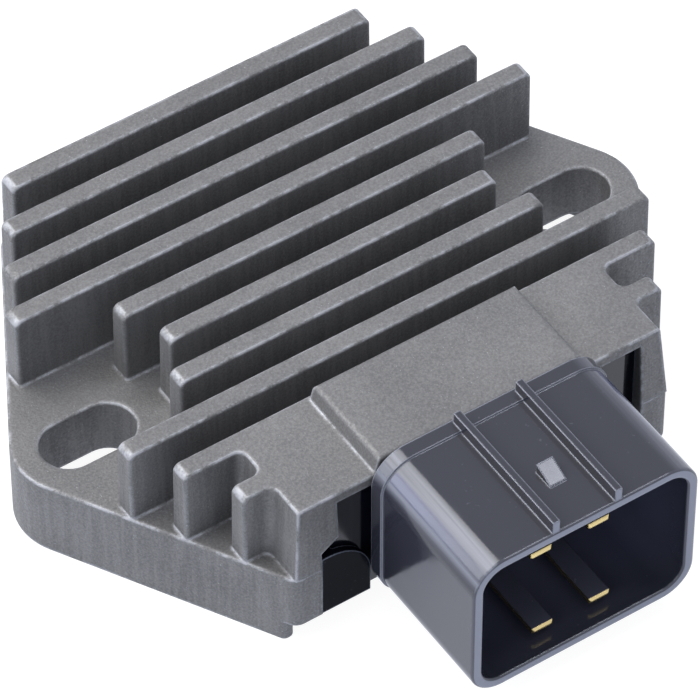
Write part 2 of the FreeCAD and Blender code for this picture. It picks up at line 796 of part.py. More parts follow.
def circuit_board():
    """The board, with a tight hole for every tail and lead that is soldered in it."""
    body = new_body("circuit_board")
    half = BOARD_HALF
    sketch = new_sketch(body, "board_outline", "XY_Plane", BOARD_BOTTOM)
    draw_box(sketch, -half, half, ROOT_REAR + dim("board_front_gap"), BOARD_REAR)
    pad(body, sketch, dim("board_thickness"))
    sketch = new_sketch(body, "board_holes", "XY_Plane", BOARD_BOTTOM)
    tail_half = dim("tail_width") / 2
    thick_half = dim("blade_thickness") / 2
    for tail in (UPPER_TAIL, LOWER_TAIL):
        for side in (-1, 1):
            centre = dim("blade_column_pitch") / 2 * side
            draw_box(sketch, centre - tail_half, centre + tail_half,
                     tail - thick_half, tail + thick_half)
    lead_half = dim("lead_width") / 2
    tip = DEVICE_FRONT - dim("lead_reach")
    for place, leads in zip(DEVICE_PLACES, (2, 3, 3, 2)):
        for offset in lead_offsets(leads):
            centre = DEVICE_PITCH * place + offset
            draw_box(sketch, centre - lead_half, centre + lead_half,
                     tip, tip + dim("lead_thickness"))
    pocket(body, sketch, dim("board_thickness"), backwards=True)
    return body


def control_chip():
    body = new_body("control_chip")
    long_half = dim("chip_length") / 2
    wide_half = dim("chip_width") / 2
    sketch = new_sketch(body, "chip_outline", "XY_Plane", BOARD_TOP)
    draw_box(sketch, -long_half, long_half, -wide_half, wide_half)
    pad(body, sketch, dim("chip_height"))
    sketch = new_sketch(body, "chip_legs", "XY_Plane", BOARD_TOP)
    leg_half = dim("chip_leg_width") / 2
    for i in range(4):
        centre = dim("chip_leg_pitch") * (i - 1.5)
        reach = wide_half + dim("chip_leg_reach")
        draw_box(sketch, centre - leg_half, centre + leg_half, wide_half, reach)
        draw_box(sketch, centre - leg_half, centre + leg_half, -reach, -wide_half)
    pad(body, sketch, dim("chip_leg_height"))
    body.setExpression("Placement.Base.x", (BOARD_HALF / 2).text)
    body.setExpression("Placement.Base.y", BOARD_MIDDLE.text)
    return body


def revolve(body, sketch, axis):
    feature = body.newObject("PartDesign::Revolution", sketch.Name + "_turned")
    feature.Profile = sketch
    feature.ReferenceAxis = (sketch, [axis])
    feature.Angle = 360
    sketch.Visibility = False
    return feature


def capacitor():
    """A can that stands on the board under the platform, with a crimp near its foot."""
    body = new_body("capacitor")
    radius = dim("capacitor_radius")
    groove = dim("capacitor_groove")
    crimp = BOARD_TOP + radius / 2
    top = BOARD_TOP + dim("capacitor_height")
    sketch = new_sketch(body, "can_section", "XZ_Plane")
    draw_polygon(sketch, [(ZERO, BOARD_TOP), (radius, BOARD_TOP), (radius, crimp),
                          (radius - groove, crimp + groove), (radius, crimp + groove * 2),
                          (radius, top - groove), (radius - groove, top), (ZERO, top)])
    revolve(body, sketch, "V_Axis")
    side = SHROUD_HALF - dim("root_side_inset") + dim("capacitor_side_gap") + radius
    body.setExpression("Placement.Base.x", (-side).text)
    body.setExpression("Placement.Base.y", ((UPPER_TAIL + LOWER_TAIL) / 2).text)
    return body


def zener_diode():
    """A small glass diode that lies on the board between its two end caps."""
    body = new_body("zener_diode")
    half = dim("zener_length") / 2
    cap = half - dim("zener_cap")
    thin = dim("zener_radius") - dim("small_part_round") / 2
    thick = dim("zener_radius")
    sketch = new_sketch(body, "zener_section", "XZ_Plane")
    draw_polygon(sketch, [(-half, ZERO), (-half, thick), (-cap, thick), (-cap, thin),
                          (cap, thin), (cap, thick), (half, thick), (half, ZERO)])
    revolve(body, sketch, "H_Axis")
    body.setExpression("Placement.Base.x", (-(BOARD_HALF / 2)).text)
    body.setExpression("Placement.Base.y", (BOARD_MIDDLE + dim("resistor_pitch") * 1.25).text)
    body.setExpression("Placement.Base.z", (BOARD_TOP + thick).text)
    return body


def driver_transistor(number):
    label = "driver_transistor_%d" % number
    body = new_body(label)
    long_half = dim("transistor_length") / 2
    wide_half = dim("transistor_width") / 2
    sketch = new_sketch(body, label + "_outline", "XY_Plane", BOARD_TOP)
    draw_box(sketch, -long_half, long_half, -wide_half, wide_half)
    pad(body, sketch, dim("transistor_height"))
    top = (BOARD_TOP + dim("transistor_height")).value
    dress(body, "Fillet", label + "_rounding", dim("small_part_round"),
          lambda e: lies_at(e, top))
    body.setExpression("Placement.Base.x", (BOARD_HALF * 0.75).text)
    down = BOARD_MIDDLE - dim("resistor_pitch") * (number + 0.5)
    body.setExpression("Placement.Base.y", down.text)
    return body


def resistor(number):
    """A chip resistor with an end cap at each side."""
    label = "resistor_%d" % number
    body = new_body(label)
    half = dim("resistor_length") / 2
    cap = half - dim("resistor_height")
    low = BOARD_TOP + dim("resistor_height") / 6
    top = BOARD_TOP + dim("resistor_height")
    step = dim("resistor_height") / 12
    sketch = new_sketch(body, label + "_section", "XZ_Plane")
    draw_polygon(sketch, [(-half, BOARD_TOP), (-cap, BOARD_TOP), (-cap, low), (cap, low),
                          (cap, BOARD_TOP), (half, BOARD_TOP), (half, top), (cap, top),
                          (cap, top - step), (-cap, top - step), (-cap, top), (-half, top)])
    pad(body, sketch, dim("resistor_width"), both_ways=True)
    along = -(BOARD_HALF / 2)
    across = BOARD_MIDDLE - dim("resistor_pitch") * (number - 1.5)
    body.setExpression("Placement.Base.x", (along + dim("resistor_pitch") / 2).text)
    body.setExpression("Placement.Base.y", across.text)
    return body


def potting_compound(inner_pieces):
    """Everything in the cavity that isn't a piece: poured from below up to its level."""
    body = new_body("potting_block")
    half = CAVITY_HALF
    front = FRONT + dim("potting_setback")
    rear = dim("cavity_rear")
    level = POTTING_LEVEL
    sketch = new_sketch(body, "shallow_fill", "XY_Plane", level)
    draw_box(sketch, -half, half, front, rear)
    pad(body, sketch, CEILING - level)
    dress(body, "Fillet", "fill_corner_rounding", dim("cavity_corner_round"),
          lambda e: runs_along(e, 2) and near(middle(e).y, rear.value))
    sketch = new_sketch(body, "deep_fill", "XY_Plane", level)
    draw_box(sketch, -half, half, front, DEEP_REAR)
    pad(body, sketch, ROOF - level)

    # bead in front of the flange, left of the shroud
    side = -(SHROUD_HALF + dim("collar_step"))
    bead_top = level + dim("bead_height")
    sketch = new_sketch(body, "bead", "XZ_Plane", -(FRONT + dim("bead_setback")))
    draw_box(sketch, -half, side, level, bead_top)
    pad(body, sketch, dim("potting_setback") - dim("bead_setback"), backwards=True)
    dress(body, "Fillet", "bead_rounding", dim("bead_round"),
          lambda e: runs_along(e, 1) and near(middle(e).x, side.value)
          and near(middle(e).z, bead_top.value))

    pieces = doc.addObject("Part::Compound", "potted_pieces")
    pieces.Links = inner_pieces
    fill = doc.addObject("Part::Cut", "potting_compound")
    fill.Label = "potting_compound"
    fill.Base = body
    fill.Tool = pieces
    return fill


def build():
    housing = connector_housing()
    inner = [housing] + terminals() + [thermal_sheet()] + power_devices()
    inner += [circuit_board(), control_chip(), capacitor(), zener_diode()]
    inner += [driver_transistor(number) for number in (1, 2)]
    inner += [resistor(number) for number in (1, 2, 3, 4)]
    doc.recompute()
    return [heat_sink()] + inner + [potting_compound(inner)]


def check_and_export(pieces):
    doc.recompute()
    for item in doc.Objects:
        if "Invalid" in item.State or "Error" in item.State:
            raise RuntimeError(item.Name + " failed: " + ", ".join(item.State))
    for piece in pieces:
        if piece.Shape.isNull() or not piece.Shape.isValid():
            raise RuntimeError(piece.Label + " has no valid shape")
    os.makedirs("parts", exist_ok=True)
    for piece in pieces:
        piece.Shape.exportStep("parts/%s.step" % piece.Label)


check_and_export(build())
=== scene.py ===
"""Looks of a finned voltage regulator rectifier: casting, moulded connector, blades, resin."""
import math

import bpy
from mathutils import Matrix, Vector


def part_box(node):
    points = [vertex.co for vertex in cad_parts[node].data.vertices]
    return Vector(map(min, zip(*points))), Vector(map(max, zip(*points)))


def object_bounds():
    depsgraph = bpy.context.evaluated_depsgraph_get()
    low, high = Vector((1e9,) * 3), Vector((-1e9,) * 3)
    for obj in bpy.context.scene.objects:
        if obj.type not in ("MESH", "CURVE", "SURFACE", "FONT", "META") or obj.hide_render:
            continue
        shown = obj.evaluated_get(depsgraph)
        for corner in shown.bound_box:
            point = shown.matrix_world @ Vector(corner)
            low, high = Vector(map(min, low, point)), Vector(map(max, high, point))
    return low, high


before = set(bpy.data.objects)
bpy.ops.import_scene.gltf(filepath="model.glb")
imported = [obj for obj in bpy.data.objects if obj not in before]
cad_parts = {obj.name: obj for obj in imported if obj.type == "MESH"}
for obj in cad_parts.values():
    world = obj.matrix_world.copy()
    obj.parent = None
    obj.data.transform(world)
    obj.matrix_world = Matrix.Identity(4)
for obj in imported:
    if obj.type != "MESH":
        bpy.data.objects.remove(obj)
cad_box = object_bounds()

MM = 0.001
FLOAT = "NodeSocketFloat"
COLOUR = "NodeSocketColor"
VECTOR = "NodeSocketVector"

# camera
CAMERA_AZIMUTH = math.radians(-33.88)
CAMERA_ELEVATION = math.radians(48.44)
CAMERA_TARGET = Vector((-6.35, -13.65, 21.45)) * MM
CAMERA_DISTANCE = 693 * MM
SENSOR_WIDTH = 36
FOCAL_LENGTH = 314.5
NEAR_LIMIT = 0.01
FAR_LIMIT = 10

# studio: the floor is white to the camera and cool in reflections
WHITE = (1.0, 1.0, 1.0)
COOL_LIGHT = (0.92, 0.96, 1.08)
WARM_LIGHT = (1.0, 0.975, 0.94)
FLOOR_SIZE = 6
FLOOR_DROP = 0.05 * MM
FLOOR_PAPER = (0.7, 0.76, 0.88)
FLOOR_SHADOW_PAPER = (0.2, 0.2, 0.2)
FLOOR_GLOW = 0.93
ROOM_LIGHT = 0.45
LAMP_AIM = Vector((0, -0.01, 0.01))
# name, place, size, power, colour
LAMPS = (
    ("overhead_softbox", (-0.36, 0.34, 0.84), 0.9, 10.2, WARM_LIGHT),
    ("left_softbox", (-0.8, -0.25, 0.5), 0.5, 1.5, COOL_LIGHT),
    ("rear_left_softbox", (-0.68, 0.5, 0.33), 0.36, 1.6, COOL_LIGHT),
    ("small_softbox", (0.36, -0.13, 0.9), 0.22, 1.5, COOL_LIGHT),
)

# casting: its rounded edges take wear and a painted highlight up to the fins' tops, and the dome
# above them doesn't
FIN_TOP = 21.5 * MM

# connector moulding: its shroud, and the lines between its painted highlights, painted light and
# painted shade
MOUTH = float(cad_box[0][1])
COLLAR_REAR = float(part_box("heat_sink")[0][1])
SHROUD_HALF = 15.2 * MM
SHROUD_BOTTOM = 3.2 * MM
SHROUD_TOP = 25.0 * MM
SHROUD_MIDDLE = (SHROUD_BOTTOM + SHROUD_TOP) / 2
INTO_WALL = 0.8 * MM
SOCKET_DEPTH = 17.5 * MM
HAIR = 0.1 * MM
RIM_LINE = MOUTH + 2 * HAIR
FLOOR_LINE = MOUTH + SOCKET_DEPTH + HAIR

# connector moulding: how strong its painted highlights, painted light and painted shade are, and
# their colours
RIM_HIGHLIGHT_AMOUNT = 0.75
CORNER_HIGHLIGHT_AMOUNT = 0.52
PAINTED_HIGHLIGHT_GREY = (0.3, 0.32, 0.38)
FILL_LIGHT_FADE = 12 * MM
SOCKET_FILL_LIGHT = (0.1, 0.106, 0.16)
FLANGE_SHADE_BLACK = (0.004, 0.0045, 0.008)

# blades: painted shade makes their level faces dark
FLAT_SHADE = (0.07, 0.075, 0.11)


def place_camera():
    level = math.cos(CAMERA_ELEVATION)
    towards = Vector((math.sin(CAMERA_AZIMUTH) * level, -math.cos(CAMERA_AZIMUTH) * level,
                      math.sin(CAMERA_ELEVATION)))
    data = bpy.data.cameras.new("camera")
    data.sensor_width = SENSOR_WIDTH
    data.lens = FOCAL_LENGTH
    data.clip_start = NEAR_LIMIT
    data.clip_end = FAR_LIMIT
    camera = bpy.data.objects.new("camera", data)
    bpy.context.scene.collection.objects.link(camera)
    camera.location = CAMERA_TARGET + towards * CAMERA_DISTANCE
    camera.rotation_euler = towards.to_track_quat("Z", "Y").to_euler()
    bpy.context.scene.camera = camera


# nodes

class Graph:
    """A node tree with its nodes laid out in columns."""

    def __init__(self, tree):
        self.tree = tree
        self.tree.nodes.clear()
        self.column = 0

    def add(self, kind, name, **settings):
        node = self.tree.nodes.new(kind)
        node.name = name
        node.label = name.replace("_", " ")
        node.location = (self.column * 180, -(self.column % 3) * 120)
        self.column += 1
        for key, value in settings.items():
            setattr(node, key, value)
        return node

    def link(self, source, target):
        self.tree.links.new(source, target)

    def put(self, socket, value):
        """Sets a socket to a number or a colour, or links another node's output to it."""
        if isinstance(value, (int, float)):
            socket.default_value = value
        elif isinstance(value, tuple):
            socket.default_value = value + (1.0,)
        else:
            self.link(value, socket)

    def object_place(self, name):
        return self.add("ShaderNodeTexCoord", name).outputs["Object"]

    def surface_normal(self, name):
        return self.add("ShaderNodeNewGeometry", name).outputs["Normal"]

    def split(self, name, vector):
        """The X, Y and Z of a vector."""
        node = self.add("ShaderNodeSeparateXYZ", name)
        self.link(vector, node.inputs["Vector"])
        return node.outputs

    def stretched(self, name, where, scale):
        node = self.add("ShaderNodeMapping", name)
        node.inputs["Scale"].default_value = scale
        self.link(where, node.inputs["Vector"])
        return node.outputs["Vector"]

    def math(self, operation, name, a, b=None, clamp=False):
        node = self.add("ShaderNodeMath", name, operation=operation, use_clamp=clamp)
        self.put(node.inputs[0], a)
        if b is not None:
            self.put(node.inputs[1], b)
        return node.outputs[0]

    def noise(self, name, where, scale, detail=2.0, roughness=0.5):
        node = self.add("ShaderNodeTexNoise", name)
        node.inputs["Detail"].default_value = detail
        node.inputs["Roughness"].default_value = roughness
        self.put(node.inputs["Scale"], scale)
        self.link(where, node.inputs["Vector"])
        return node.outputs["Fac"]

    def window(self, name, value, low, high, to_low=0.0, to_high=1.0):
        """Maps low..high to to_low..to_high, held at the ends."""
        node = self.add("ShaderNodeMapRange", name)
        self.put(node.inputs["From Min"], low)
        self.put(node.inputs["From Max"], high)
        self.put(node.inputs["To Min"], to_low)
        self.put(node.inputs["To Max"], to_high)
        self.link(value, node.inputs["Value"])
        return node.outputs["Result"]

    def mix_colour(self, name, factor, a, b):
        node = self.add("ShaderNodeMix", name, data_type="RGBA")
        self.put(node.inputs[0], factor)
        self.put(node.inputs[6], a)
        self.put(node.inputs[7], b)
        return node.outputs[2]

    def seen_rays(self):
        """The camera ray, and its sum with the glossy and transmission rays."""
        path = self.add("ShaderNodeLightPath", "ray")
        camera = path.outputs["Is Camera Ray"]
        seen = self.math("ADD", "seen", camera, path.outputs["Is Glossy Ray"])
        seen = self.math("ADD", "seen_through", seen, path.outputs["Is Transmission Ray"],
                         clamp=True)
        return camera, seen


def new_group(name, inputs, outputs):
    """A shader node group. inputs: name to (type, default); outputs: name to type."""
    tree = bpy.data.node_groups.new(name, "ShaderNodeTree")
    for label, (kind, value) in inputs.items():
        socket = tree.interface.new_socket(label, in_out="INPUT", socket_type=kind)
        socket.default_value = value
    for label, kind in outputs.items():
        tree.interface.new_socket(label, in_out="OUTPUT", socket_type=kind)
    graph = Graph(tree)
    entry = graph.add("NodeGroupInput", "entry").outputs
    leave = graph.add("NodeGroupOutput", "leave").inputs
    return graph, entry, leave


def blasted_skin_group():
    """Shot-blasted casting skin: fine grain, bright glints, faint clouds and side streaks."""
    graph, entry, leave = new_group("blasted_skin", {
        "Light": (COLOUR, (0.2, 0.2, 0.2, 1)), "Dark": (COLOUR, (0.1, 0.1, 0.1, 1)),
        "Glint": (COLOUR, (0.5, 0.5, 0.5, 1)), "Grain Scale": (FLOAT, 2600.0),
        "Streaks": (FLOAT, 0.3)},
        {"Color": COLOUR, "Roughness": FLOAT, "Height": FLOAT})
    where = graph.object_place("where")
    grain = graph.noise("grain", where, entry["Grain Scale"], 3)
    clouds = graph.noise("clouds", where, 90, 3, 0.6)
    pits = graph.noise("pits", where, 5200, 1)
    mottle = graph.window("mottle", grain, 0.34, 0.68, 0.2, 0.8)
    cloudy = graph.window("cloudy", clouds, 0.3, 0.7, -0.2, 0.2)
    shade = graph.math("ADD", "shade", mottle, cloudy, clamp=True)

    # streaks down the upright sides only
    stretch = graph.stretched("stretch", where, (1.0, 1.0, 0.06))
    lines = graph.noise("lines", stretch, 1500, 2)
    lines = graph.window("fine_lines", lines, 0.42, 0.62)
    facing = graph.split("facing", graph.surface_normal("surface"))
    upright = graph.math("ABSOLUTE", "upright", facing["Z"])
    upright = graph.window("sideways", upright, 0.1, 0.35, 1.0, 0.0)
    streak = graph.math("MULTIPLY", "streak", lines, upright)
    streak = graph.math("MULTIPLY", "streak_amount", streak, entry["Streaks"])
    shade = graph.math("ADD", "streaked", shade, streak, clamp=True)

    skin = graph.mix_colour("skin", shade, entry["Dark"], entry["Light"])
    glints = graph.window("glints", pits, 0.72, 0.8)
    skin = graph.mix_colour("glinting", glints, skin, entry["Glint"])
    graph.link(skin, leave["Color"])
    graph.link(graph.window("rough", grain, 0.3, 0.7, 0.66, 0.5), leave["Roughness"])
    graph.link(graph.math("ADD", "height", grain, pits), leave["Height"])
    return graph.tree


def edge_wear_and_highlight_group():
    """Mask and soft normal along a piece's edges, broken up as handling leaves them; the mask
    serves as wear and as a painted highlight.
    """
    graph, entry, leave = new_group("edge_wear_and_highlight", {
        "Break Up": (FLOAT, 0.5), "Amount": (FLOAT, 1.0), "Radius": (FLOAT, 0.3 * MM),
        "Rounds": (FLOAT, 0.0)},
        {"Mask": FLOAT, "Edge": FLOAT, "Normal": VECTOR})
    soft = graph.add("ShaderNodeBevel", "soft_edge", samples=6)
    graph.link(entry["Radius"], soft.inputs["Radius"])
    surface = graph.surface_normal("surface")
    turn = graph.add("ShaderNodeVectorMath", "turn", operation="DOT_PRODUCT")
    graph.link(soft.outputs["Normal"], turn.inputs[0])
    graph.link(surface, turn.inputs[1])
    edge = graph.window("edge", turn.outputs["Value"], 0.985, 0.86)
    graph.link(edge, leave["Edge"])

    # edges that the casting already has rounded lean between level and upright
    lean = graph.math("ABSOLUTE", "lean", graph.split("facing", surface)["Z"])
    rounded = graph.math("MULTIPLY", "rounded", graph.window("rise", lean, 0.12, 0.4),
                         graph.window("fall", lean, 0.99, 0.93))
    rounded = graph.math("MULTIPLY", "rounded_amount", rounded, entry["Rounds"])
    where = graph.object_place("where")
    place = graph.split("place", where)
    fins = graph.window("up_to_the_fin_tops", place["Z"], FIN_TOP + 0.05 * MM,
                        FIN_TOP + 0.15 * MM, 1.0, 0.0)
    rounded = graph.math("MULTIPLY", "rounded_fins", rounded, fins)
    edge = graph.math("MAXIMUM", "edge_or_round", edge, rounded)

    patches = graph.noise("patches", where, 260, 5, 0.78)
    broken = graph.math("SUBTRACT", "broken", patches, entry["Break Up"])
    broken = graph.math("MULTIPLY", "contrast", broken, 6.0, clamp=True)
    # the lightened edges: partly wear, partly a painted highlight
    worn = graph.math("MULTIPLY", "worn", edge, broken)
    worn = graph.math("MULTIPLY", "wear_and_highlight_amount", worn, entry["Amount"], clamp=True)
    graph.link(worn, leave["Mask"])
    graph.link(soft.outputs["Normal"], leave["Normal"])
    return graph.tree


def moulded_skin_group():
    """Moulded plastic: a slow ripple, a fine texture and scattered dust specks."""
    graph, entry, leave = new_group("moulded_skin", {
        "Base": (COLOUR, (0.01, 0.01, 0.01, 1)), "Dust": (COLOUR, (0.3, 0.3, 0.32, 1)),
        "Dust Amount": (FLOAT, 0.5), "Gloss": (FLOAT, 0.15), "Matt": (FLOAT, 0.35)},
        {"Color": COLOUR, "Roughness": FLOAT, "Height": FLOAT})
    where = graph.object_place("where")
    ripple = graph.noise("ripple", where, 160, 2)
    fine = graph.noise("fine", where, 2400, 2)
    specks = graph.noise("specks", where, 1900, 1)
    dusty = graph.noise("dusty", where, 240, 2)
    specks = graph.window("speck", specks, 0.71, 0.78)
    dusty = graph.window("dusty_places", dusty, 0.45, 0.65)
    dust = graph.math("MULTIPLY", "dust", specks, dusty)
    dust = graph.math("MULTIPLY", "dust_amount", dust, entry["Dust Amount"], clamp=True)
    colour = graph.mix_colour("coloured", dust, entry["Base"], entry["Dust"])
    polish = graph.window("polish", ripple, 0.35, 0.65, entry["Gloss"], entry["Matt"])
    height = graph.math("MULTIPLY", "fine_part", fine, 0.25)
    height = graph.math("ADD", "height", height, ripple)
    graph.link(colour, leave["Color"])
    graph.link(polish, leave["Roughness"])
    graph.link(height, leave["Height"])
    return graph.tree


def rolled_metal_group():
    """Stamped or plated strip: rolling lines along its length and dull patches, and, if asked,
    painted shade that darkens its level faces and makes them less metallic.
    """
    graph, entry, leave = new_group("rolled_metal", {
        "Bright": (COLOUR, (0.8, 0.6, 0.2, 1)), "Dull": (COLOUR, (0.4, 0.3, 0.1, 1)),
        "Polish": (FLOAT, 0.25), "Shaded Flats": (FLOAT, 0.0)},
        {"Color": COLOUR, "Roughness": FLOAT, "Height": FLOAT, "Metal": FLOAT})
    where = graph.object_place("where")
    rolling = graph.stretched("rolling_way", where, (1.0, 0.05, 1.0))
    lines = graph.noise("lines", rolling, 5000, 2)
    patches = graph.noise("patches", where, 500, 3)
    dull = graph.window("dull", patches, 0.4, 0.7)
    colour = graph.mix_colour("tarnish", dull, entry["Bright"], entry["Dull"])
    # painted shade: the level faces turn dark and less metallic
    facing = graph.split("facing", graph.surface_normal("surface"))
    level = graph.math("ABSOLUTE", "level", facing["Z"])
    flat = graph.math("MULTIPLY", "tarnished", graph.window("flat", level, 0.85, 0.97),
                      entry["Shaded Flats"])
    colour = graph.mix_colour("dark_flats", flat, colour, FLAT_SHADE)
    graph.link(graph.math("SUBTRACT", "metal", 1.0, flat), leave["Metal"])
    rough = graph.math("MULTIPLY", "dulled", dull, 0.08)
    rough = graph.math("ADD", "rough", rough, entry["Polish"])
    graph.link(colour, leave["Color"])
    graph.link(rough, leave["Roughness"])
    graph.link(lines, leave["Height"])
    return graph.tree


# painted highlights, painted light and painted shade on the connector moulding, by place and by
# the way the surface faces

def rim_highlight(graph, colour, edge):
    """Paints a highlight on the rim round the socket's mouth, except along its edges."""
    place = graph.split("rim_place", graph.object_place("rim_where"))
    rubbed = graph.window("rubbed", place["Y"], RIM_LINE, RIM_LINE + 0.15 * MM, RIM_HIGHLIGHT_AMOUNT, 0.0)
    inner = graph.math("SUBTRACT", "off_the_edge", 1.0, edge, clamp=True)
    rubbed = graph.math("MULTIPLY", "lit_rim_middle", rubbed, inner)
    facing = graph.split("rim_facing", graph.surface_normal("rim_surface"))
    flat = graph.window("flat_rim", facing["Y"], -0.97, -0.9, 1.0, 0.15)
    rubbed = graph.math("MULTIPLY", "lit_rim_flat", rubbed, flat)
    return graph.mix_colour("highlighted_rim", rubbed, colour, PAINTED_HIGHLIGHT_GREY)


def highlighted_corners(graph, colour):
    """Paints a striped highlight, a painted reflection, on the long rounded corners, the left one
    more than the right.
    """
    facing = graph.split("corner_facing", graph.surface_normal("corner_surface"))
    sideways = facing["X"]
    left = graph.math("MULTIPLY", "left_corner",
                      graph.window("off_the_top", sideways, -0.16, -0.34),
                      graph.window("off_the_side", sideways, -0.97, -0.86))
    right = graph.math("MULTIPLY", "right_corner",
                       graph.window("off_the_top_right", sideways, 0.12, 0.4, 0.0, 0.4),
                       graph.window("off_the_right", sideways, 0.97, 0.8))
    upper = graph.window("upper", facing["Z"], 0.16, 0.4)
    both = graph.math("ADD", "corners", left, right)
    both = graph.math("MULTIPLY", "upper_corners", both, upper)
    where = graph.object_place("corner_where")
    place = graph.split("corner_place", where)
    outside = graph.window("outside", place["Z"], SHROUD_MIDDLE, SHROUD_MIDDLE + HAIR)
    both = graph.math("MULTIPLY", "outside_corners", both, outside)
    along = graph.stretched("along", where, (1.0, 0.03, 1.0))
    stripes = graph.noise("stripes", along, 900, 2)
    stripes = graph.window("striped", stripes, 0.38, 0.6, 0.3, 1.0)
    corner_highlight = graph.math("MULTIPLY", "corner_highlight_stripes", both, stripes)
    corner_highlight = graph.math("MULTIPLY", "corner_amount", corner_highlight, CORNER_HIGHLIGHT_AMOUNT, clamp=True)
    return graph.mix_colour("highlighted_corners", corner_highlight, colour, PAINTED_HIGHLIGHT_GREY)


def painted_socket_light(graph, colour):
    """Paints light onto the socket's inner walls and floor, which lie in shade, more so the
    deeper they lie.
    """
    place = graph.split("socket_place", graph.object_place("socket_where"))
    across = graph.math("ABSOLUTE", "across", place["X"])
    side = SHROUD_HALF - INTO_WALL
    bottom = SHROUD_BOTTOM + INTO_WALL
    top = SHROUD_TOP - INTO_WALL
    walls = (
        graph.window("between_sides", across, side, side + HAIR, 1.0, 0.0),
        graph.window("over_bottom", place["Z"], bottom, bottom + HAIR),
        graph.window("under_top", place["Z"], top, top + HAIR, 1.0, 0.0),
        graph.window("before_floor", place["Y"], FLOOR_LINE, FLOOR_LINE + HAIR, 1.0, 0.0))
    mask = graph.window("deeper", place["Y"], RIM_LINE, RIM_LINE + FILL_LIGHT_FADE)
    for wall in walls:
        mask = graph.math("MULTIPLY", "within", mask, wall)
    return graph.mix_colour("bloomed", mask, colour, SOCKET_FILL_LIGHT)


def flange_shade(graph, colour):
    """Paints the moulding behind its collar deep black, as painted shade."""
    place = graph.split("flange_place", graph.object_place("flange_where"))
    behind = graph.window("behind_collar", place["Y"], COLLAR_REAR, COLLAR_REAR + 2 * HAIR)
    return graph.mix_colour("deep_black", behind, colour, FLANGE_SHADE_BLACK)


# finishes

def finish_material(name, effect_group, edge_group, values, metallic, relief, wear_and_highlight_colour=None,
                    edge_amount=1.0, break_up=0.5, edge_radius=0.3 * MM, rounds=0.0, specular=0.5,
                    connector_light_and_shade=False):
    """A material whose colour, roughness and relief come from one effect group."""
    material = bpy.data.materials.new(name)
    material.use_nodes = True
    graph = Graph(material.node_tree)
    effect = graph.add("ShaderNodeGroup", "effect", node_tree=effect_group)
    for label, value in values.items():
        graph.put(effect.inputs[label], value)
    shader = graph.add("ShaderNodeBsdfPrincipled", "shader")
    shader.inputs["Metallic"].default_value = metallic
    shader.inputs["Specular IOR Level"].default_value = specular
    edges = graph.add("ShaderNodeGroup", "edges", node_tree=edge_group)
    edges.inputs["Amount"].default_value = edge_amount
    edges.inputs["Break Up"].default_value = break_up
    edges.inputs["Radius"].default_value = edge_radius
    edges.inputs["Rounds"].default_value = rounds
    bump = graph.add("ShaderNodeBump", "relief")
    bump.inputs["Strength"].default_value = 1.0
    bump.inputs["Distance"].default_value = relief
    graph.link(effect.outputs["Height"], bump.inputs["Height"])
    graph.link(edges.outputs["Normal"], bump.inputs["Normal"])

    colour = effect.outputs["Color"]
    # edge colour: wear, and a painted highlight along the edges
    if wear_and_highlight_colour is not None:
        colour = graph.mix_colour("worn", edges.outputs["Mask"], colour, wear_and_highlight_colour)
    # painted highlights on the rim and corners, painted light in the socket, painted shade on the
    # flange
    if connector_light_and_shade:
        colour = rim_highlight(graph, colour, edges.outputs["Edge"])
        colour = highlighted_corners(graph, colour)
        colour = painted_socket_light(graph, colour)
        colour = flange_shade(graph, colour)
    graph.link(colour, shader.inputs["Base Color"])
    graph.link(effect.outputs["Roughness"], shader.inputs["Roughness"])
    if values.get("Shaded Flats"):
        graph.link(effect.outputs["Metal"], shader.inputs["Metallic"])
    graph.link(bump.outputs["Normal"], shader.inputs["Normal"])
    out = graph.add("ShaderNodeOutputMaterial", "out")
    graph.link(shader.outputs["BSDF"], out.inputs["Surface"])
    return material


